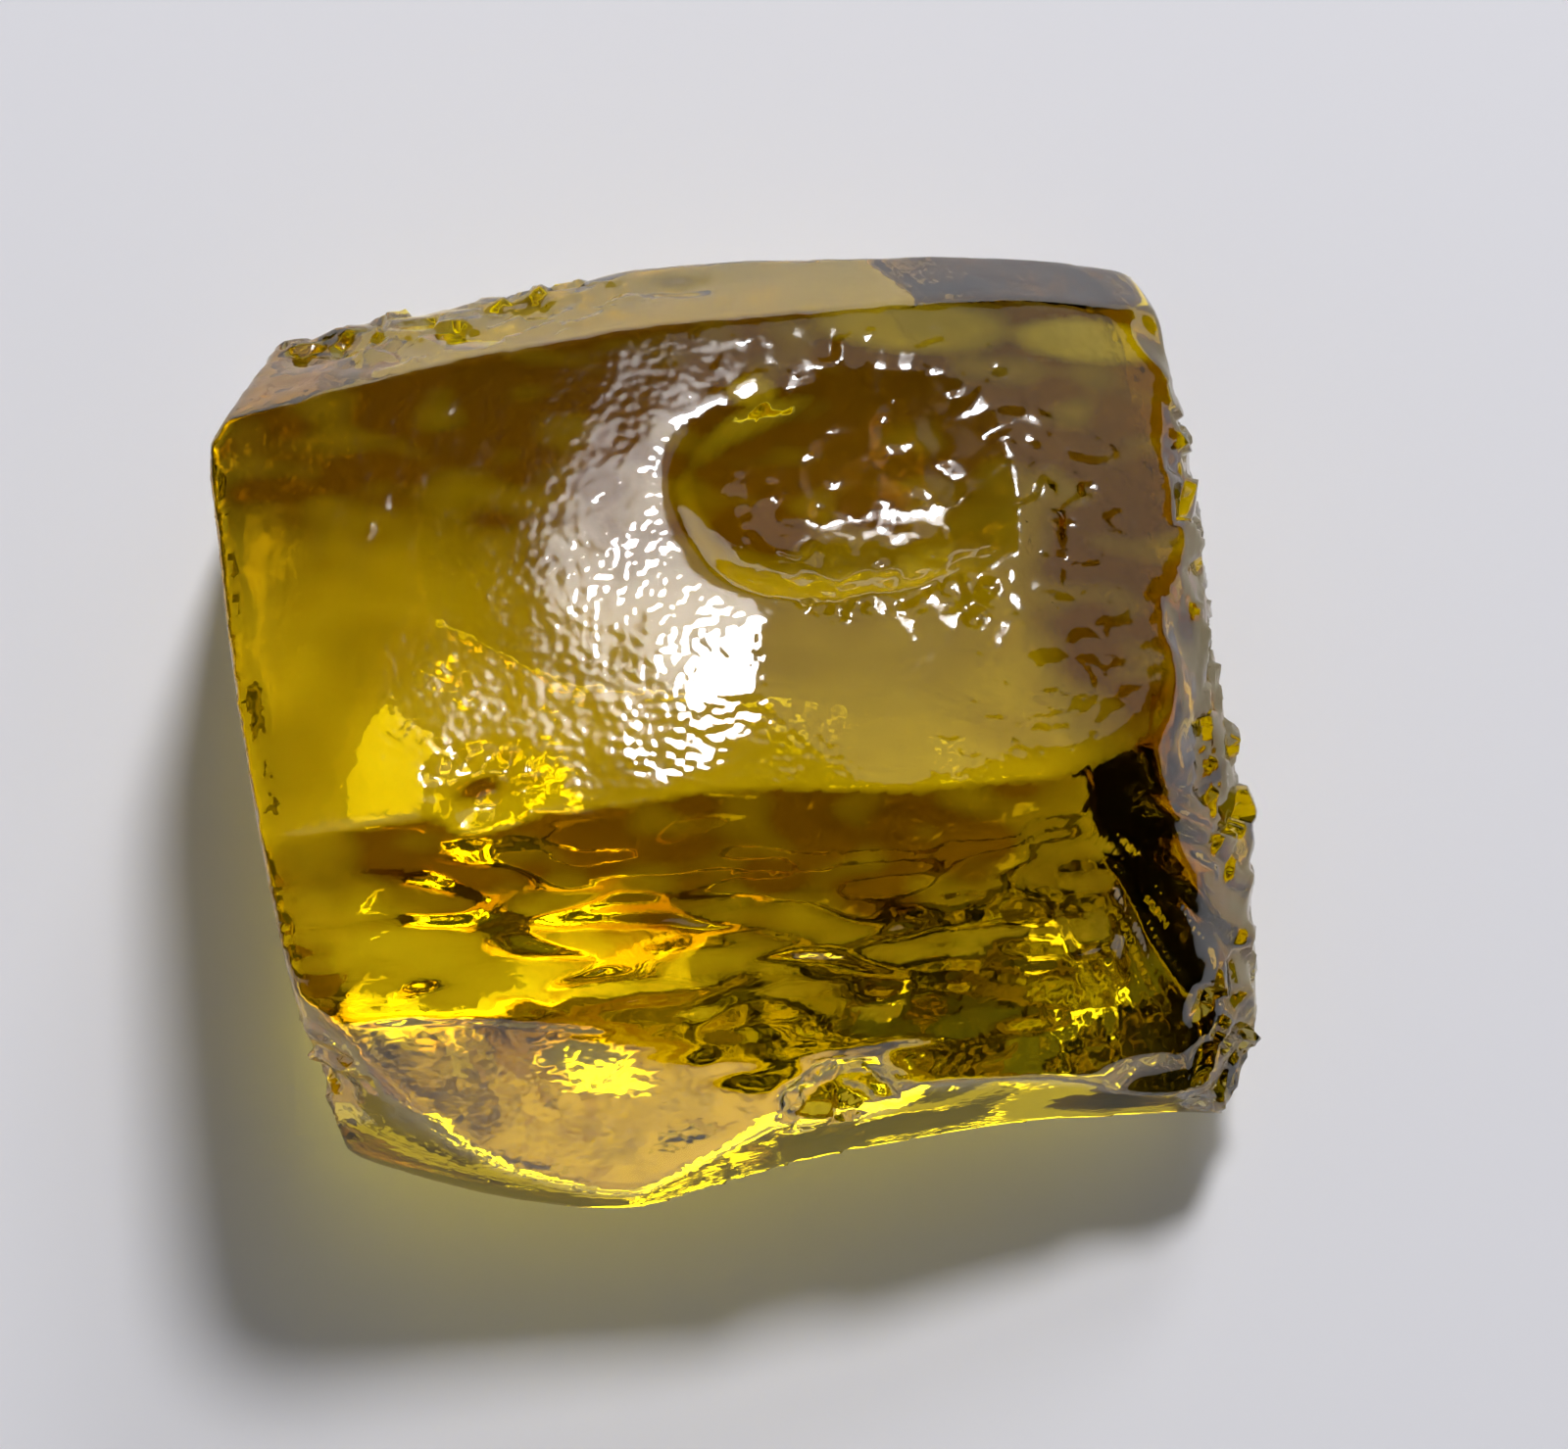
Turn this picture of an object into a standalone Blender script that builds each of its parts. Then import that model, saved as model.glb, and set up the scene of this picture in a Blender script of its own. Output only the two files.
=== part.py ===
"""A rough zircon: one broken, water-worn crystal lying on its flat base.

The stone is a block cut back by gently curved faces, the way a crystal breaks. Each natural
face is a cutter whose inner side is a crowned or hollow sheet, and a chip is a ball that
bites into an edge. X runs along the long side, Y to the back and Z up, with the origin under
the middle of the stone, on the surface that it lies on. Lengths below are in millimetres,
and angles in degrees.
"""

import math

import bmesh
import bpy
from mathutils import Matrix, Vector, noise

MM = 0.001

# Driving dimensions: the box that the outer faces are measured in from.
WIDTH = 22.0
DEPTH = 20.0
HEIGHT = 10.4
RIGHT = WIDTH / 2
LEFT = -WIDTH / 2
BACK = DEPTH / 2
FRONT = -DEPTH / 2
BLOCK_SPARE = 1.2

# How finely the curved faces are drawn, and how far a cutter reaches past its middle.
CELL = 0.8
REACH = 17.0
CUTTER_DEPTH = 18.0
DISH_CELL = 0.36
DISH_REACH = 1.5
DISH_WOBBLE = 0.06
SWELL_SIZE = 4.0
FLAT = 1.0e6
CHIP_SUBDIVISIONS = 3

ZIRCON_COLOUR = (0.62, 0.42, 0.05, 1.0)
ZIRCON_ROUGHNESS = 0.08
ZIRCON_IOR = 1.95


def clear_scene():
    for obj in list(bpy.data.objects):
        bpy.data.objects.remove(obj, do_unlink=True)


def new_collection(name):
    collection = bpy.data.collections.new(name)
    bpy.context.scene.collection.children.link(collection)
    return collection


def face_matrix(at, tilt, heading):
    """Local Z is the face's outward normal, and local X runs level along the face."""
    tilt, heading = math.radians(tilt), math.radians(heading)
    normal = Vector(
        (math.sin(tilt) * math.cos(heading), math.sin(tilt) * math.sin(heading), math.cos(tilt))
    )
    level = Vector((-math.sin(heading), math.cos(heading), 0.0))
    upslope = normal.cross(level)
    axes = Matrix((level, upslope, normal)).transposed().to_4x4()
    return Matrix.Translation(Vector(at) * MM) @ axes


def sheet_height(u, v, round_u, round_v, swell, seed):
    """How far the face stands out at u, v: a crown or a hollow, with a slow swell."""
    crown = -(u * u) / (2 * round_u) - (v * v) / (2 * round_v)
    return crown + swell * noise.noise(Vector((u / SWELL_SIZE, v / SWELL_SIZE, seed)))


def sheet_block(name, span_u, span_v, cell, height):
    """A block whose lower side is the sheet height(u, v), in cells of that size."""
    mesh = bpy.data.meshes.new(name)
    sheet = bmesh.new()
    (low_u, high_u), (low_v, high_v) = span_u, span_v
    across = max(1, round((high_u - low_u) / cell))
    upward = max(1, round((high_v - low_v) / cell))
    bmesh.ops.create_grid(sheet, x_segments=across, y_segments=upward, size=1.0)
    for vertex in sheet.verts:
        u = (low_u + high_u) / 2 + vertex.co.x * (high_u - low_u) / 2
        v = (low_v + high_v) / 2 + vertex.co.y * (high_v - low_v) / 2
        vertex.co = (u, v, height(u, v))
    grown = bmesh.ops.extrude_face_region(sheet, geom=sheet.faces[:])
    for item in grown["geom"]:
        if isinstance(item, bmesh.types.BMVert):
            item.co.z = CUTTER_DEPTH
    bmesh.ops.recalc_face_normals(sheet, faces=sheet.faces)
    bmesh.ops.scale(sheet, vec=(MM, MM, MM), verts=sheet.verts)
    sheet.to_mesh(mesh)
    sheet.free()
    return bpy.data.objects.new(name, mesh)


def face_cutter(name, at, tilt, heading, rounding=(FLAT, FLAT), swell=0.0, seed=0.0, span=(-REACH, REACH)):
    """A block whose inner side is the natural face.

    tilt is the face's lean from level and heading is the way it looks, from +X towards +Y.
    rounding is its radius along and up the face, positive for a crown, negative for a hollow.
    span is how far the block runs to either side of its middle, where a face ends at a break.
    """
    cutter = sheet_block(
        name, span, (-REACH, REACH), CELL, lambda u, v: sheet_height(u, v, *rounding, swell, seed)
    )
    cutter.matrix_world = face_matrix(at, tilt, heading)
    return cutter


def dish_cutter(name, at, tilt, heading, radii, depth):
    """A block that scoops an uneven, flat-floored dish of those radii and that depth into a face."""

    def height(u, v):
        turn = math.atan2(v / radii[1], u / radii[0])
        uneven = 1 + DISH_WOBBLE * (math.sin(3 * turn + 1.0) + 0.7 * math.sin(5 * turn))
        share = math.hypot(u / radii[0], v / radii[1]) * uneven
        return depth * (share**4 - 1)

    reach_u, reach_v = (radius * DISH_REACH for radius in radii)
    cutter = sheet_block(name, (-reach_u, reach_u), (-reach_v, reach_v), DISH_CELL, height)
    cutter.matrix_world = face_matrix(at, tilt, heading)
    return cutter


def chip_cutter(name, at, tilt, heading, radii, depth):
    """A ball, drawn out along its axes, that bites a shell-shaped chip out of an edge.

    at is a point on the edge, and tilt and heading say which way the edge looks. radii are
    the ball's, along the edge, up it and outward, and depth is how far it goes in.
    """
    mesh = bpy.data.meshes.new(name)
    ball = bmesh.new()
    bmesh.ops.create_icosphere(ball, subdivisions=CHIP_SUBDIVISIONS, radius=1.0)
    bmesh.ops.scale(ball, vec=radii, verts=ball.verts)
    bmesh.ops.translate(ball, vec=(0, 0, radii[2] - depth), verts=ball.verts)
    bmesh.ops.scale(ball, vec=(MM, MM, MM), verts=ball.verts)
    ball.to_mesh(mesh)
    ball.free()
    cutter = bpy.data.objects.new(name, mesh)
    cutter.matrix_world = face_matrix(at, tilt, heading)
    return cutter


def upper_faces():
    """The faces that look up: the roof, its shallow hollow, and the front that falls away."""
    return [
        face_cutter("roof", (-0.85, 1.5, 9.25), 14.9, 67, (60, 95), 0.12, 1.0),
        face_cutter("roof_right", (4.0, 1.5, 8.37), 19.1, 46, (90, 90), 0.12, 2.0),
        dish_cutter("roof_hollow", (2.9, 5.3, 7.42), 8, 23, (2.3, 3.7), 0.45),
        face_cutter("ridge_corner", (7.0, -1.4, 8.15), 33.9, -40.7, (60, 60), 0.12, 18.0),
        face_cutter("front_slope", (-3.0, -4.2, 9.24), 31.9, -73.8, (90, 70), 0.15, 4.0),
        face_cutter("front_window", (-3.9, -6.45, 8.06), 49.9, -85, (-80, 60), 0.04, 5.0, (-9.0, 5.2)),
        face_cutter("front_corner", (9.5, -2.5, 5.95), 52.2, -13.8, (40, 60), 0.15, 8.0),
    ]


def side_faces():
    """The steep sides: bevels that catch the light above, and walls that lean in below them."""
    return [
        face_cutter("front_side", (-3.5, FRONT + 0.26, 3.4), 75, -95, (17, 24), 0.05, 6.0, (-9.3, 4.8)),
        face_cutter("front_hollow", (5.0, FRONT + 2.1, 3.5), 76, -82, (-31, 40), 0.06, 7.0),
        face_cutter("front_right", (10.6, FRONT + 2.35, 2.5), 84, -58, (80, 60), 0.04, 19.0),
        face_cutter("back_bevel", (3.7, BACK - 0.75, 5.53), 54.1, 84.5, (42, 200), 0.05, 9.0),
        face_cutter("back_side", (8.0, BACK + 0.4, 4.6), 105, 90, (68, 200), 0.15, 10.0, (-8.0, 24.0)),
        face_cutter("back_break", (-7.0, BACK - 1.3, 5.2), 74, 103, (70, 60), 0.2, 17.0),
        face_cutter("left_side", (LEFT + 0.73, 1.0, 6.0), 90, 189, (120, 120), 0.05, 11.0),
        face_cutter("left_corner", (LEFT + 0.75, 6.9, 6.0), 84, 150, (60, 60)),
        face_cutter("right_side", (RIGHT - 0.75, 0.0, 4.0), 87, 7, (120, 120), 0.35, 12.0),
        face_cutter("right_bevel", (RIGHT - 1.5, 4.0, 5.65), 61.4, 7.9, (60, 60), 0.2, 13.0),
        face_cutter("right_corner", (RIGHT - 2.5, 9.2, 5.0), 80, 33, (60, 60)),
    ]


def lower_faces():
    """The underside climbs away from the base, so that only the middle touches the ground."""
    return [
        face_cutter("under_front", (-1.0, FRONT + 0.1, 2.6), 160, -94, (120, 60), 0.2, 14.0),
        face_cutter("under_left", (LEFT + 1.4, 0.0, 1.1), 157, 186, (60, 40), 0.1, 15.0),
        face_cutter("under_right", (RIGHT - 0.7, 0.0, 2.0), 155, 4, (60, 40), 0.1, 16.0),
    ]


def chips():
    """Bites along the edges: the front notch, the nicked ridge, the broken right and back edges."""
    return [
        chip_cutter("notch_front", (2.1, -7.75, 5.6), 55, -78, (1.5, 1.3, 1.4), 0.55),
        chip_cutter("bite_ridge", (-5.0, -2.2, 10.3), 10, -60, (1.5, 0.9, 1.2), 0.2),
        chip_cutter("bite_right_upper", (9.2, 5.9, 5.75), 42, 10, (3.2, 1.6, 2.0), 0.3),
        chip_cutter("bite_right_middle", (9.3, 2.0, 6.6), 44, 8, (1.7, 1.5, 1.4), 0.35),
        chip_cutter("bite_right_ledge", (9.8, -0.8, 6.1), 50, -3, (2.1, 2.4, 2.0), 0.35),
        chip_cutter("bite_right_lower", (10.5, -6.7, 3.1), 62, -32, (1.7, 1.5, 1.6), 0.35),
        chip_cutter("bite_front_right", (8.4, -7.3, 4.1), 52, -72, (1.7, 1.2, 1.4), 0.28),
        chip_cutter("bite_corner_right", (8.9, 8.2, 5.2), 44, 47, (1.6, 1.5, 1.5), 0.4),
        chip_cutter("bite_back_middle", (-1.3, 9.1, 6.0), 66, 92, (2.0, 1.2, 1.6), 0.22),
        chip_cutter("bite_back_left", (-4.6, 8.7, 6.1), 64, 98, (2.4, 1.3, 1.7), 0.33),
        chip_cutter("bite_back_far_left", (-8.1, 7.95, 6.3), 66, 112, (1.9, 1.4, 1.6), 0.35),
        chip_cutter("bite_left_front", (-8.5, -7.7, 5.8), 58, -122, (1.8, 1.6, 1.6), 0.35),
    ]


def zircon_material():
    """Clear honey-yellow crystal."""
    material = bpy.data.materials.new("zircon_crystal")
    material.use_nodes = True
    shader = material.node_tree.nodes["Principled BSDF"]
    shader.inputs["Base Color"].default_value = ZIRCON_COLOUR
    shader.inputs["Roughness"].default_value = ZIRCON_ROUGHNESS
    shader.inputs["Metallic"].default_value = 0.0
    shader.inputs["IOR"].default_value = ZIRCON_IOR
    shader.inputs["Transmission Weight"].default_value = 1.0
    return material


def rough_block(name):
    """The uncut block, which stands on Z = 0 and is larger than the stone all round."""
    bpy.ops.mesh.primitive_cube_add(size=1.0)
    block = bpy.context.object
    block.name = name
    block.data.name = name
    size = Vector((WIDTH, DEPTH, HEIGHT)) * BLOCK_SPARE * MM
    lift = Matrix.Translation(Vector((0, 0, size.z / 2)))
    block.data.transform(lift @ Matrix.Diagonal(size).to_4x4())
    return block


def centre_on_origin(stone, cutters):
    """Moves the stone with its cutters, so that the origin is under the middle of its box."""
    bpy.context.view_layer.update()
    shape = stone.evaluated_get(bpy.context.evaluated_depsgraph_get())
    corners = [stone.matrix_world @ Vector(corner) for corner in shape.bound_box]
    middle = sum(corners, Vector()) / len(corners)
    shift = Matrix.Translation((-middle.x, -middle.y, 0.0))
    for member in [stone] + cutters:
        member.matrix_world = shift @ member.matrix_world


def build():
    clear_scene()
    stone_parts = new_collection("rough_zircon")
    cutting_blocks = new_collection("cutters")
    stone = rough_block("zircon")
    for collection in list(stone.users_collection):
        collection.objects.unlink(stone)
    stone_parts.objects.link(stone)
    stone.data.materials.append(zircon_material())
    cutters = upper_faces() + side_faces() + lower_faces() + chips()
    for cutter in cutters:
        cutting_blocks.objects.link(cutter)
        cutter.hide_render = True
        cutter.display_type = "WIRE"
        cut = stone.modifiers.new(cutter.name, "BOOLEAN")
        cut.operation = "DIFFERENCE"
        cut.solver = "EXACT"
        cut.object = cutter
    centre_on_origin(stone, cutters)


build()
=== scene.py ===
"""The finished look of one rough zircon lying on pale paper, under soft light mostly from behind."""

import math

import bmesh
import bpy
import numpy as np
from mathutils import Matrix, Vector, noise
from mathutils.bvhtree import BVHTree


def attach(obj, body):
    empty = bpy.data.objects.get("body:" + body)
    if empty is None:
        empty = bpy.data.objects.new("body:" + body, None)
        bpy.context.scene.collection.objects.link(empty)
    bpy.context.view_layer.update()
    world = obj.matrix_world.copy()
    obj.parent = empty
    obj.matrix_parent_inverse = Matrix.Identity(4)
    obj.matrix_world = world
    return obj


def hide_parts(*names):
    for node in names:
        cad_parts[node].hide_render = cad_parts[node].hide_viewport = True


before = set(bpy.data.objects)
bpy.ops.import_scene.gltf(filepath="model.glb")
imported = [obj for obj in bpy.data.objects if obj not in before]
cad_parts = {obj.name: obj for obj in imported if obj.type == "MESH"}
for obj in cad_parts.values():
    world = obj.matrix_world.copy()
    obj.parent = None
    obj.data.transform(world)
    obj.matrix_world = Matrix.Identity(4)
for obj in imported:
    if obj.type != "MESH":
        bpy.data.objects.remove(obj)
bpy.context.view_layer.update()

MM = 0.001

# The photograph's view: straight down but for a small lean towards the front.
IMAGE_WIDTH = 1600
SENSOR_MM = 36.0
FOCAL_PX = 5586.0
VIEW_TARGET_MM = (0.87, -0.11, 5.0)
VIEW_DISTANCE_MM = 114.0
VIEW_LEAN = 8.0

# Corners of the solid's mesh that are closer than this, in metres, are one corner.
MERGE_DISTANCE = 1e-6
# The stone's skin. From here to the painted reflection spots, places, sizes and heights are in
# millimetres.
SKIN_CELL = 0.13
# Rounds of smoothing, the share of each step that is taken, and how alike two neighbours must look.
RELAX_ROUNDS = 20
RELAX_STEP = 0.6
RELAX_SHARPNESS = 0.004
# Rounds that even out the directions that the relief is pushed along.
NORMAL_ROUNDS = 6
# Width and height of the pebbles that wear left.
PEBBLE_MM = 0.2
PEBBLE_HEIGHT = 0.0065
# What lies lower than this is set flat on the paper.
BASE_BAND = 0.05
# The outer share of a patch over which it fades out.
EDGE_SOFTNESS = 0.45

# Chipped breaks: middle, reach, slope of their facets, size of the facets, and a seed.
BREAKS = (
    ((-6.6, 8.5, 5.6), (5.6, 2.3, 3.6), 0.5, 0.8, 1.0),
    ((10.0, 5.0, 4.8), (1.5, 5.0, 3.6), 0.75, 0.8, 2.0),
    ((10.4, -0.6, 4.8), (1.6, 3.6, 3.4), 0.75, 0.75, 3.0),
    ((10.5, -6.3, 3.2), (1.9, 2.8, 2.8), 0.75, 0.7, 4.0),
    ((-8.9, -7.4, 5.6), (1.9, 2.0, 3.0), 0.6, 0.7, 5.0),
    ((1.9, -7.7, 5.1), (1.8, 1.3, 1.7), 0.7, 0.55, 6.0),
    ((3.2, 2.2, 8.4), (3.6, 1.1, 1.6), 0.45, 0.5, 7.0),
    ((-5.0, -2.0, 10.3), (1.5, 0.9, 0.9), 0.5, 0.45, 8.0),
)
# Feathery growth relief: middle, reach, height, length on each axis, and a seed.
FEATHERS = (
    ((3.0, 5.4, 7.2), (5.6, 4.4, 3.0), 0.02, (0.8, 0.5, 0.8), 9.0),
    ((-8.0, 5.0, 8.2), (4.6, 3.4, 3.0), 0.022, (0.45, 0.9, 0.7), 10.0),
    ((6.9, 3.0, 7.2), (4.0, 5.0, 3.0), 0.03, (0.7, 0.5, 0.7), 12.0),
)
FACET_SEED = 7.3
# How far the breaks lie below the worn face, and the level that feathers rise and fall about.
BREAK_SINK = 0.06
FEATHER_LEVEL = 0.6
# Slow unevenness of every face that doesn't look down: height, length, seed, lowest slant.
SWELL_MM = 0.009
SWELL_SIZE = 0.75
SWELL_SEED = 15.0
SWELL_LOWEST = -0.3
# Long ripples that run across the front slope: patch, height and their length on each axis, the
# finer ones among them, and the range of slants over which they start.
FRONT_SLOPE = ((-0.3, -4.9, 8.0), (13.0, 4.2, 4.6))
RIPPLE_MM = 0.11
RIPPLE_SIZE = (3.2, 0.9, 1.6)
RIPPLE_SEED = 3.0
FINE_RIPPLE_SHARE = 0.5
FINE_RIPPLE_DIVISOR = 2.2
FINE_RIPPLE_SEED = 9.0
RIPPLE_FRONT_RANGE = (0.15, 0.2)
RIPPLE_UP_RANGE = (0.7, 0.1)
# Feathery ridges that spread from the blow that broke the front right corner.
HACKLE_PATCH = ((9.0, -4.4, 5.0), (4.0, 4.2, 4.0))
HACKLE_ROOT = (5.4, -0.6, 7.0)
HACKLES_PER_TURN = 9.0
HACKLE_LENGTH = 2.5
HACKLE_MM = 0.1
HACKLE_SEED = 5.0
HACKLE_GLOSS = 0.6
# The hollow on top, with small facets on its floor.
HOLLOW_MIDDLE = (3.6, 5.0, 7.6)
HOLLOW_REACH = (5.6, 4.6, 3.0)
HOLLOW_FACET_MM = 0.7
HOLLOW_FACET_SLOPE = 0.2
HOLLOW_SEED = 21.0
# Slants at which a face starts to count as roof, and the range until it fully does.
ROOF_RANGE = (0.86, 0.08)
# Frost in the hollow: how patchy, the size of its patches, and a seed.
FROST_PATCHES = (0.5, 1.2, 2.0)
# Share of the pebbles off the roof, and how much breaks and frost take away.
SIDE_PEBBLES = 0.35
BREAK_PEBBLE_LOSS = 0.7
FROST_PEBBLE_LOSS = 0.4
# How unevenly the pebbles are worn: how patchy, the size of the patches, and a seed.
PEBBLE_PATCHES = (0.5, 2.6, 6.0)
# The left side is smoother: where that ends, how fast, and the share left there.
SMOOTH_LEFT = (0.9, 1.2, 0.1)
# The crystal's own pale tint, and the brown of the painted shade laid where the crystal shows dark.
CLEAR_TINT = "#fffaf0"
PAINTED_SHADE_TINT = "#684016"
# The share of a painted shade zone's range of slants over which it fades out.
PAINTED_SHADE_FADE = 0.4
# How the painted shade zones' edges wander towards the back and front: height, length and seed of the
# waves.
PAINTED_SHADE_WAVES = ((0.9, (3.0, 1.6, 3.0), 11.0), (0.5, (0.9, 0.9, 0.9), 4.0))
# Painted shade: brown laid under the faces that look one way, where the crystal shows dark paper and
# long paths: middle, reach, strength, the way, and how far from it a face may turn, as 1 less the
# cosine.
PAINTED_SHADE_ZONES = (
    ((-1.0, 9.3, 7.5), (18.0, 9.4, 9.0), 1.0, (0.1, 0.2, 0.93), 0.2),
    ((-8.2, 9.0, 8.0), (7.0, 8.6, 9.0), 1.0, (0.0, 0.2, 0.95), 0.18),
    ((9.8, 3.5, 6.5), (5.6, 8.0, 8.0), 1.0, (0.3, 0.2, 0.9), 0.2),
    ((-1.0, -2.6, 9.5), (13.0, 2.9, 4.0), 1.0, (0.15, -0.5, 0.85), 0.14),
    ((4.0, -4.6, 8.0), (7.0, 3.6, 4.0), 0.75, (0.15, -0.5, 0.85), 0.14),
    ((10.2, -4.5, 5.0), (6.5, 6.0, 6.0), 0.3, (0.4, -0.5, 0.8), 0.12),
    ((-9.0, -6.0, 8.5), (1.5, 2.0, 2.5), 0.8, (0.15, -0.5, 0.85), 0.12),
)
# Faint random brown clouds under the roof, put into the painted shade, and how much the painted shade
# varies.
CLOUD_SIZE = (3.0, 1.5, 3.0)
CLOUD_STRENGTH = 0.45
CLOUD_CONTRAST = 0.35
CLOUD_GAIN = 2.2
CLOUD_FLOOR = 0.15
CLOUD_SEED = 17.0
MOTTLE_DIVISOR = 2.4
MOTTLE_SEED = 13.0
# Painted light: gaps in the painted shade that stand for bright internal reflections, middle and reach.
PAINTED_REFLECTION_SPOTS = (
    ((3.3, 8.0, 6.2), (2.6, 0.75, 1.5)),
    ((7.1, 7.9, 5.4), (2.0, 0.6, 1.5)),
    ((0.2, 6.4, 7.6), (0.6, 0.4, 1.0)),
)
WORN_ROUGHNESS = 0.04
FROST_ROUGHNESS = 0.06
BREAK_ROUGHNESS = 0.06

# Light lost per metre of crystal in red, green and blue, chosen for the honey yellow and not
# measured, and a general refractive index for zircon.
LOSS_PER_METRE = (12.0, 26.0, 330.0)
ABSORPTION_DENSITY = 400.0
ZIRCON_IOR = 1.95

PAPER_COLOUR = "#e9e9ee"
PAPER_ROUGHNESS = 0.85
FLOOR_SIZE_M = 2.4
FLOOR_DROP_MM = 0.02

# Each soft box: name, azimuth, elevation, degrees across, irradiance, colour, the rays that see it.
# Real lights are seen by all rays. These are split up to suit the photograph's one view.
LIGHT_DISTANCE_M = 0.5
LIGHTS = (
    ("key", 75, 50, 10, 2.3, (1.0, 0.99, 1.0), "diffuse"),
    ("key_glint", 71, 53, 10, 0.42, (1.0, 0.98, 1.0), "glossy"),
    ("veil", 60, 38, 34, 0.1, (1.0, 0.94, 0.9), "glossy"),
    ("key_through", 75, 50, 14, 4.4, (1.0, 0.99, 1.0), "transmission"),
    ("top_through", 95, 80, 24, 1.1, (1.0, 0.99, 1.0), "transmission"),
    ("second", 74, 34, 14, 0.6, (0.97, 0.98, 1.0), "diffuse"),
    ("low_through", 92, 10, 28, 1.3, (1.0, 1.0, 0.98), "transmission"),
    ("front_through", -80, 25, 62, 1.6, (0.9, 1.0, 0.2), "transmission"),
    ("right_through", 0, 50, 60, 0.9, (1.0, 0.75, 0.3), "transmission"),
)
ROOM_COLOUR = "#eef0f6"
ROOM_STRENGTH = 0.18


def linear(code):
    """An sRGB hex colour as linear red, green, blue and a full alpha."""
    parts = [int(code[i : i + 2], 16) / 255 for i in (1, 3, 5)]
    turned = [part / 12.92 if part <= 0.04045 else ((part + 0.055) / 1.055) ** 2.4 for part in parts]
    return (*turned, 1.0)


def add_node(tree, kind, settings=None, links=None, **values):
    """Adds a node. settings are its properties, values its plain sockets, links its linked ones."""
    node = tree.nodes.new(kind)
    for name, value in (settings or {}).items():
        setattr(node, name, value)
    for name, value in values.items():
        node.inputs[name.replace("_", " ")].default_value = value
    for name, source in (links or {}).items():
        tree.links.new(source, node.inputs[name])
    return node


def new_material(name):
    material = bpy.data.materials.new(name)
    material.use_nodes = True
    material.node_tree.nodes.clear()
    return material, material.node_tree


def stone_skin():
    """A fine, even mesh over the CAD solid, to carve the stone's small relief into."""
    mesh = bpy.data.meshes.new_from_object(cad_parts["zircon"])
    body = bmesh.new()
    body.from_mesh(mesh)
    bmesh.ops.remove_doubles(body, verts=body.verts, dist=MERGE_DISTANCE)
    solid = BVHTree.FromBMesh(body)
    body.to_mesh(mesh)
    body.free()
    skin = bpy.data.objects.new("zircon_crystal", mesh)
    bpy.context.scene.collection.objects.link(skin)
    remesh = skin.modifiers.new("even cells", "REMESH")
    remesh.mode = "VOXEL"
    remesh.voxel_size = SKIN_CELL * MM
    graph = bpy.context.evaluated_depsgraph_get()
    fine = bpy.data.meshes.new_from_object(skin.evaluated_get(graph))
    skin.modifiers.clear()
    skin.data = fine
    bpy.data.meshes.remove(mesh)
    for vertex in fine.vertices:
        vertex.co = solid.find_nearest(vertex.co)[0]
    return skin


class Skin:
    """The mesh as arrays in millimetres, with the sums over neighbours that smoothing needs."""

    def __init__(self, mesh):
        self.mesh = mesh
        count = len(mesh.vertices)
        flat = np.empty(count * 3)
        mesh.vertices.foreach_get("co", flat)
        self.at = flat.reshape(-1, 3) / MM
        mesh.calc_loop_triangles()
        tris = np.empty(len(mesh.loop_triangles) * 3, dtype=np.int64)
        mesh.loop_triangles.foreach_get("vertices", tris)
        self.tris = tris.reshape(-1, 3)
        edges = np.empty(len(mesh.edges) * 2, dtype=np.int64)
        mesh.edges.foreach_get("vertices", edges)
        edges = edges.reshape(-1, 2)
        self.here = np.concatenate([edges[:, 0], edges[:, 1]])
        self.there = np.concatenate([edges[:, 1], edges[:, 0]])

    def gather(self, values):
        """Sums a value of each edge end into its vertex."""
        return np.bincount(self.here, values, len(self.at))

    def normals(self):
        corners = self.at[self.tris]
        faces = np.cross(corners[:, 1] - corners[:, 0], corners[:, 2] - corners[:, 0])
        total = np.zeros_like(self.at)
        for corner in range(3):
            for axis in range(3):
                total[:, axis] += np.bincount(self.tris[:, corner], faces[:, axis], len(self.at))
        return total / np.linalg.norm(total, axis=1, keepdims=True)

    def spread(self, values, rounds):
        """Averages a field with its neighbours, over and over."""
        share = self.gather(np.ones(len(self.here)))
        for _ in range(rounds):
            for axis in range(values.shape[1]):
                values[:, axis] = (values[:, axis] + self.gather(values[self.there, axis])) / (1 + share)
        return values

    def relax(self, rounds, sharpness):
        """Smooths the faces, but weighs neighbours that look another way so little that edges stay."""
        for _ in range(rounds):
            normals = self.normals()
            alike = np.einsum("ij,ij->i", normals[self.here], normals[self.there])
            weight = np.exp(-(1 - np.clip(alike, -1, 1)) / sharpness)
            reach = np.einsum("ij,ij->i", self.at[self.there] - self.at[self.here], normals[self.here])
            step = self.gather(weight * reach) / np.maximum(self.gather(weight), 1e-9)
            self.at += normals * (RELAX_STEP * step)[:, None]

    def store(self):
        self.mesh.vertices.foreach_set("co", (self.at * MM).ravel())
        self.mesh.update()


def lumps(places, size, seed):
    """Smooth noise from about -1 to 1 at each place, its lumps that many millimetres long on x, y, z."""
    return np.array([noise.noise(Vector(place)) for place in (places / size + seed).tolist()])


def crags(places, size, seed):
    """Broken faces that meet in sharp edges, from 0 at their floors to 1 along the edges."""
    return 1 - 2 * np.abs(lumps(places, size, seed))


def facets(places, size, seed):
    """Height of flat chips, each tilted its own way by up to half, that meet in small steps."""
    heights = []
    for place in (places / size + seed).tolist():
        middle = noise.voronoi(place)[1][0]
        tilt = noise.cell_vector(middle * FACET_SEED) - Vector((0.5, 0.5, 0.5))
        heights.append(size * tilt.dot(Vector(place) - middle))
    return np.array(heights)


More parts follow.
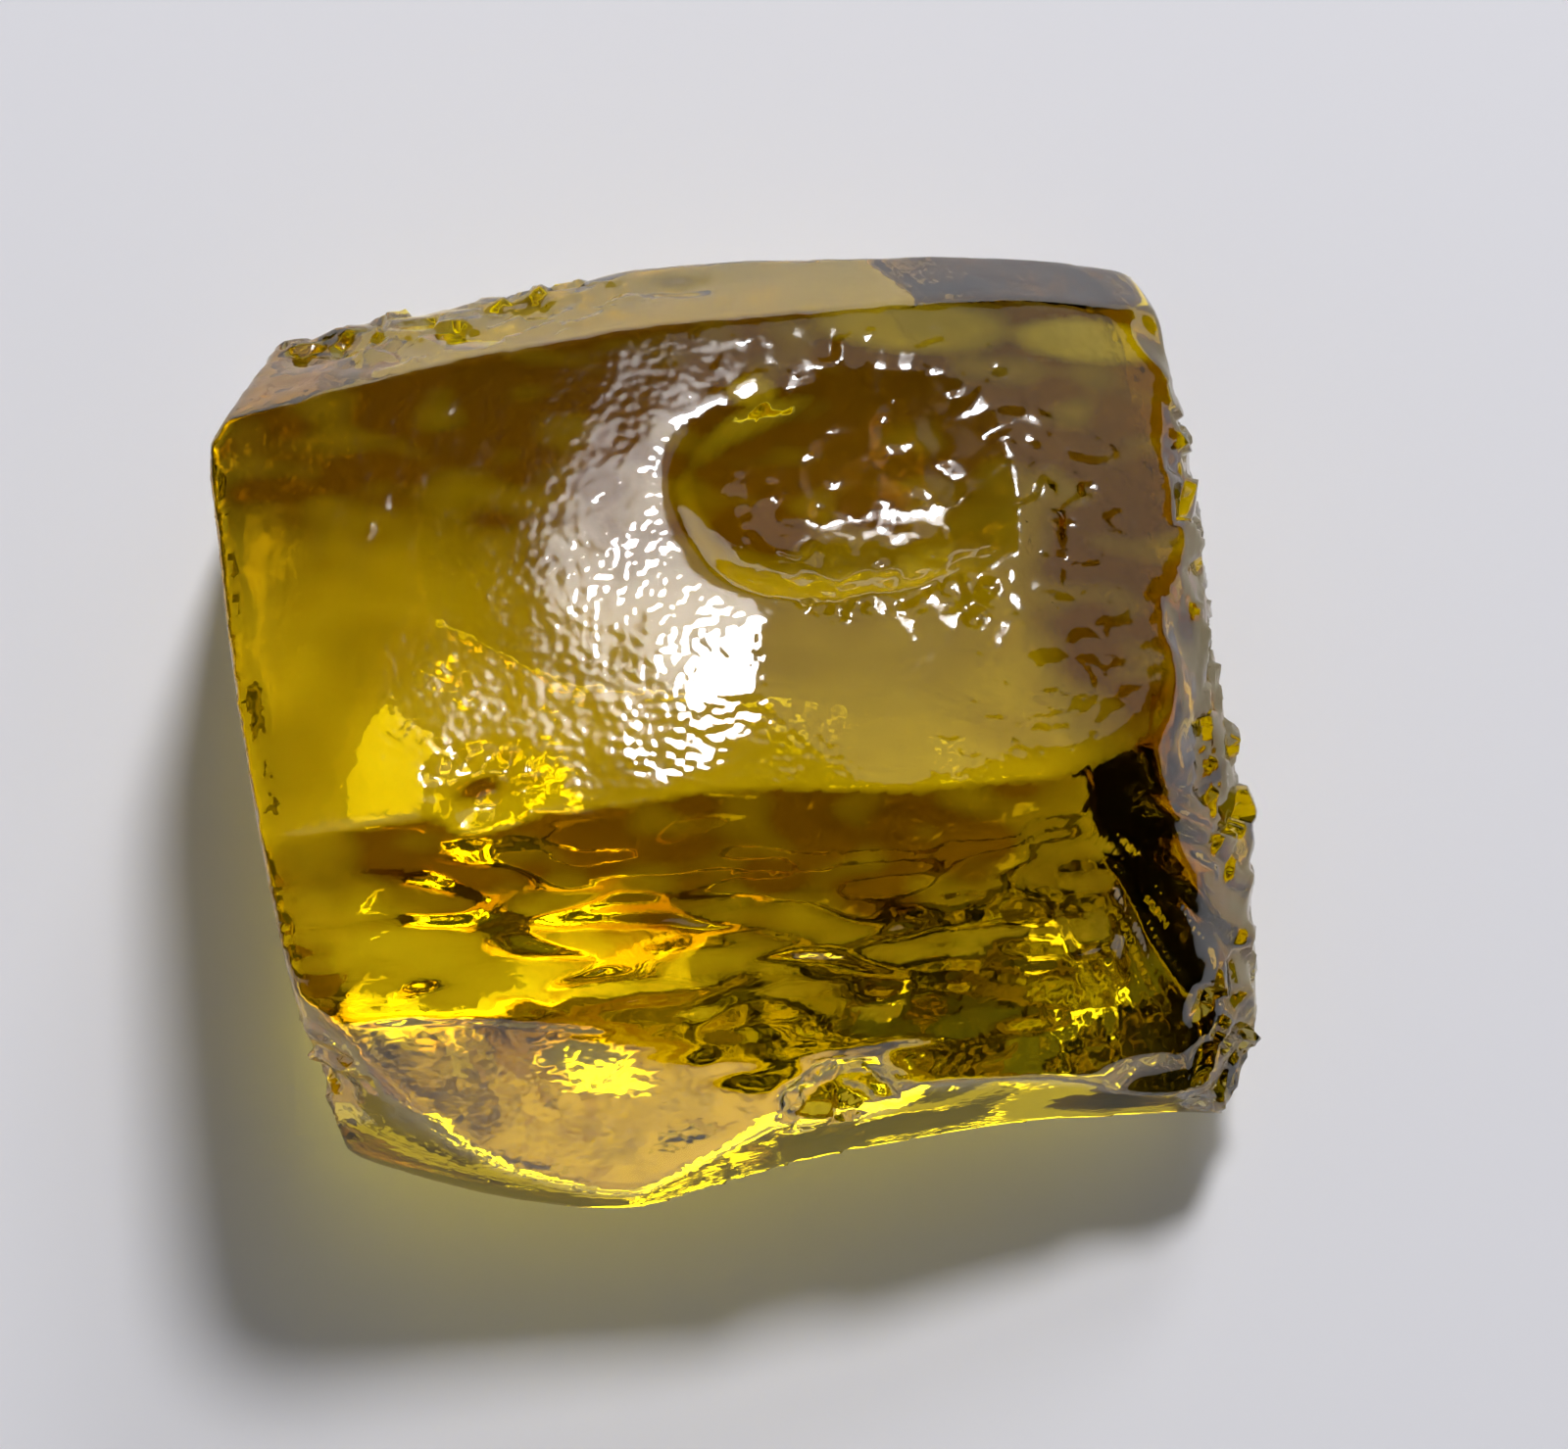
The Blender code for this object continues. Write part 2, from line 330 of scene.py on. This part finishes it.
def nearness(places, middle, reach):
    """1 in the middle of a round patch, 0 outside its reach, soft between."""
    away = np.linalg.norm((places - np.array(middle)) / np.array(reach), axis=1)
    share = np.clip((1 - away) / EDGE_SOFTNESS, 0, 1)
    return share * share * (3 - 2 * share)


def ramp(values, start, span):
    """0 below start, 1 from start plus span on, straight between."""
    return np.clip((values - start) / span, 0, 1)


def break_relief(at):
    """Height of the chipped breaks, and how broken each spot is."""
    height = np.zeros(len(at))
    broken = np.zeros(len(at))
    for middle, reach, slope, size, seed in BREAKS:
        near = nearness(at, middle, reach)
        inside = near > 0
        height[inside] += near[inside] * (slope * facets(at[inside], size, seed) - BREAK_SINK)
        broken = np.maximum(broken, near)
    return height, broken


def roof_relief(at):
    """Height of the feathery growth relief and of the small facets in the hollow."""
    height = np.zeros(len(at))
    for middle, reach, tall, size, seed in FEATHERS:
        height += nearness(at, middle, reach) * tall * (crags(at, np.array(size), seed) - FEATHER_LEVEL)
    hollow = nearness(at, HOLLOW_MIDDLE, HOLLOW_REACH)
    inside = hollow > 0
    chips = facets(at[inside], HOLLOW_FACET_MM, HOLLOW_SEED)
    height[inside] += hollow[inside] * HOLLOW_FACET_SLOPE * chips
    return height


def ripple_relief(at, normals):
    """Height of the long ripples on the front slope."""
    slope = nearness(at, *FRONT_SLOPE) * ramp(-normals[:, 1], *RIPPLE_FRONT_RANGE)
    slope *= ramp(normals[:, 2], *RIPPLE_UP_RANGE)
    size = np.array(RIPPLE_SIZE)
    ripples = crags(at, size, RIPPLE_SEED)
    ripples += FINE_RIPPLE_SHARE * lumps(at, size / FINE_RIPPLE_DIVISOR, FINE_RIPPLE_SEED)
    return slope * RIPPLE_MM * ripples


def hackle_relief(at):
    """Height of the hackles that fan out from their root, and the fan itself."""
    fan = nearness(at, *HACKLE_PATCH)
    away = at - np.array(HACKLE_ROOT)
    turn = np.arctan2(away[:, 1], away[:, 0]) * HACKLES_PER_TURN
    along = np.linalg.norm(away[:, :2], axis=1) / HACKLE_LENGTH
    rays = np.stack([turn, along, np.zeros(len(at))], axis=1)
    return fan * HACKLE_MM * crags(rays, 1.0, HACKLE_SEED), fan


def carve(skin):
    """The small relief that the photograph shows, pushed in and out along the faces' own direction."""
    at = skin.at.copy()
    normals = skin.spread(skin.normals(), NORMAL_ROUNDS)
    height, broken = break_relief(at)
    height += roof_relief(at)
    height += SWELL_MM * lumps(at, SWELL_SIZE, SWELL_SEED) * (normals[:, 2] > SWELL_LOWEST)
    height += ripple_relief(at, normals)
    hackles, fan = hackle_relief(at)
    height += hackles
    skin.at += normals * height[:, None]
    return at, normals, np.maximum(broken, HACKLE_GLOSS * fan)


def painted_shade_map(at, normals, roof):
    """How much painted shade each spot gets: brown on the faces that look each zone's way."""
    painted_shade = np.zeros(len(at))
    wavy = at.copy()
    for tall, size, seed in PAINTED_SHADE_WAVES:
        wavy[:, 1] += tall * lumps(at, np.array(size), seed)
    for middle, reach, strength, way, spread in PAINTED_SHADE_ZONES:
        way = np.array(way) / np.linalg.norm(way)
        facing = ramp(normals @ way, 1 - spread, PAINTED_SHADE_FADE * spread)
        painted_shade = np.maximum(painted_shade, strength * facing * nearness(wavy, middle, reach))
    size = np.array(CLOUD_SIZE)
    painted_shade *= 1 + CLOUD_CONTRAST * lumps(at, size / MOTTLE_DIVISOR, MOTTLE_SEED)
    clouds = np.clip(CLOUD_GAIN * lumps(at, size, CLOUD_SEED) - CLOUD_FLOOR, 0, 1)
    painted_shade = np.maximum(painted_shade, CLOUD_STRENGTH * clouds * roof)
    # Lifts the painted shade in spots, to paint bright internal reflections.
    for middle, reach in PAINTED_REFLECTION_SPOTS:
        painted_shade *= 1 - nearness(at, middle, reach)
    return painted_shade


def finish_map(skin, at, normals, broken):
    """Stores how rough and how strongly pebbled each spot is, and how much painted shade it gets."""
    roof = ramp(normals[:, 2], *ROOF_RANGE)
    hollow = nearness(at, HOLLOW_MIDDLE, HOLLOW_REACH)
    share, size, seed = FROST_PATCHES
    frost = np.clip(hollow + share * lumps(at, size, seed) * (hollow > 0), 0, 1)
    rough = WORN_ROUGHNESS + (FROST_ROUGHNESS - WORN_ROUGHNESS) * frost * roof
    rough = rough * (1 - broken) + BREAK_ROUGHNESS * broken
    pebbled = SIDE_PEBBLES + (1 - SIDE_PEBBLES) * roof
    pebbled *= (1 - BREAK_PEBBLE_LOSS * broken) * (1 - FROST_PEBBLE_LOSS * frost)
    share, size, seed = PEBBLE_PATCHES
    pebbled *= 1 + share * lumps(at, size, seed)
    start, span, least = SMOOTH_LEFT
    pebbled *= np.maximum(ramp(at[:, 0] - at[:, 0].min(), start, span), least)
    # The last layer is the brown painted shade.
    layers = {"roughness": rough, "pebbled": pebbled, "painted_shade": painted_shade_map(at, normals, roof)}
    for name, values in layers.items():
        layer = skin.mesh.attributes.new(name, "FLOAT", "POINT")
        layer.data.foreach_set("value", np.clip(values, 0, 1).astype(np.float32))


def zircon_material():
    """Natural zircon: a high refractive index gives its strong gloss, lost blue light its honey yellow.

    Wear has pebbled its faces, and its breaks are smooth as glass. The brown tint at the surface
    is painted shade, laid on the faces where the crystal shows dark paper and long paths.
    """
    material, tree = new_material("zircon_honey_crystal")
    place = add_node(tree, "ShaderNodeTexCoord")
    roughness = add_node(tree, "ShaderNodeAttribute", {"attribute_name": "roughness"})
    pebbled = add_node(tree, "ShaderNodeAttribute", {"attribute_name": "pebbled"})
    pebbles = add_node(
        tree, "ShaderNodeTexNoise", None, {"Vector": place.outputs["Object"]},
        Scale=1 / (PEBBLE_MM * MM), Detail=0.0,
    )
    bump = add_node(
        tree, "ShaderNodeBump", None,
        {"Height": pebbles.outputs["Fac"], "Strength": pebbled.outputs["Fac"]},
        Distance=PEBBLE_HEIGHT * MM,
    )
    # Brown painted shade, mixed into the surface tint.
    painted_shade = add_node(tree, "ShaderNodeAttribute", {"attribute_name": "painted_shade"})
    tint = add_node(tree, "ShaderNodeMix", {"data_type": "RGBA"}, {"Factor": painted_shade.outputs["Fac"]})
    tint.inputs[6].default_value = linear(CLEAR_TINT)
    tint.inputs[7].default_value = linear(PAINTED_SHADE_TINT)
    shader = add_node(
        tree, "ShaderNodeBsdfPrincipled", None,
        {
            "Normal": bump.outputs["Normal"],
            "Roughness": roughness.outputs["Fac"],
            "Base Color": tint.outputs[2],
        },
        IOR=ZIRCON_IOR, Transmission_Weight=1.0,
    )
    passed = [1 - loss / ABSORPTION_DENSITY for loss in LOSS_PER_METRE]
    volume = add_node(
        tree, "ShaderNodeVolumeAbsorption", None, None,
        Color=(*passed, 1.0), Density=ABSORPTION_DENSITY,
    )
    output = add_node(tree, "ShaderNodeOutputMaterial")
    tree.links.new(shader.outputs["BSDF"], output.inputs["Surface"])
    tree.links.new(volume.outputs["Volume"], output.inputs["Volume"])
    return material


def paper_material():
    """Uncoated white drawing paper."""
    material, tree = new_material("white_paper")
    shader = add_node(
        tree, "ShaderNodeBsdfPrincipled", None, None,
        Base_Color=linear(PAPER_COLOUR), Roughness=PAPER_ROUGHNESS,
    )
    output = add_node(tree, "ShaderNodeOutputMaterial")
    tree.links.new(shader.outputs["BSDF"], output.inputs["Surface"])
    return material


def build_stone():
    piece = stone_skin()
    skin = Skin(piece.data)
    skin.relax(RELAX_ROUNDS, RELAX_SHARPNESS)
    low = skin.at[:, 2] < BASE_BAND
    at, normals, broken = carve(skin)
    skin.at[low, 2] = 0.0
    skin.at[:, 2] = np.maximum(skin.at[:, 2], 0.0)
    skin.store()
    finish_map(skin, at, normals, broken)
    piece.data.shade_smooth()
    piece.data.materials.clear()
    piece.data.materials.append(zircon_material())
    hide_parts("zircon")
    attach(piece, "root")


def build_floor():
    bpy.ops.mesh.primitive_plane_add(size=FLOOR_SIZE_M)
    floor = bpy.context.object
    floor.name = "paper"
    floor.data.transform(Matrix.Translation((0, 0, -FLOOR_DROP_MM * MM)))
    floor.data.materials.append(paper_material())


def sky_direction(azimuth, elevation):
    azimuth, elevation = math.radians(azimuth), math.radians(elevation)
    flat = math.cos(elevation)
    return Vector((flat * math.cos(azimuth), flat * math.sin(azimuth), math.sin(elevation)))


def add_light(name, azimuth, elevation, across, irradiance, colour, seen_by):
    """A round soft box that looks `across` degrees wide from the stone."""
    lamp = bpy.data.lights.new(name, "AREA")
    lamp.shape = "DISK"
    lamp.size = 2 * LIGHT_DISTANCE_M * math.tan(math.radians(across) / 2)
    lamp.energy = irradiance * math.pi * LIGHT_DISTANCE_M**2
    lamp.color = colour
    light = bpy.data.objects.new(name, lamp)
    direction = sky_direction(azimuth, elevation)
    light.location = direction * LIGHT_DISTANCE_M
    light.rotation_euler = direction.to_track_quat("Z", "Y").to_euler()
    light.visible_camera = False
    light.visible_diffuse = seen_by == "diffuse"
    light.visible_glossy = seen_by == "glossy"
    light.visible_transmission = seen_by == "transmission"
    bpy.context.scene.collection.objects.link(light)


def build_lights():
    for light in LIGHTS:
        add_light(*light)
    world = bpy.data.worlds.new("soft room")
    world.use_nodes = True
    background = world.node_tree.nodes["Background"]
    background.inputs["Color"].default_value = linear(ROOM_COLOUR)
    background.inputs["Strength"].default_value = ROOM_STRENGTH
    world.cycles_visibility.glossy = False
    bpy.context.scene.world = world


def build_camera():
    camera = bpy.data.objects.new("camera", bpy.data.cameras.new("camera"))
    bpy.context.scene.collection.objects.link(camera)
    lean = math.radians(VIEW_LEAN)
    back = Vector((0, -math.sin(lean), math.cos(lean)))
    camera.location = (Vector(VIEW_TARGET_MM) + back * VIEW_DISTANCE_MM) * MM
    camera.rotation_euler = (lean, 0, 0)
    camera.data.sensor_width = SENSOR_MM
    camera.data.lens = SENSOR_MM * FOCAL_PX / IMAGE_WIDTH
    camera.data.clip_start = 0.002
    camera.data.clip_end = 10
    bpy.context.scene.camera = camera


build_stone()
build_floor()
build_lights()
build_camera()
bpy.context.scene.view_settings.view_transform = "Standard"
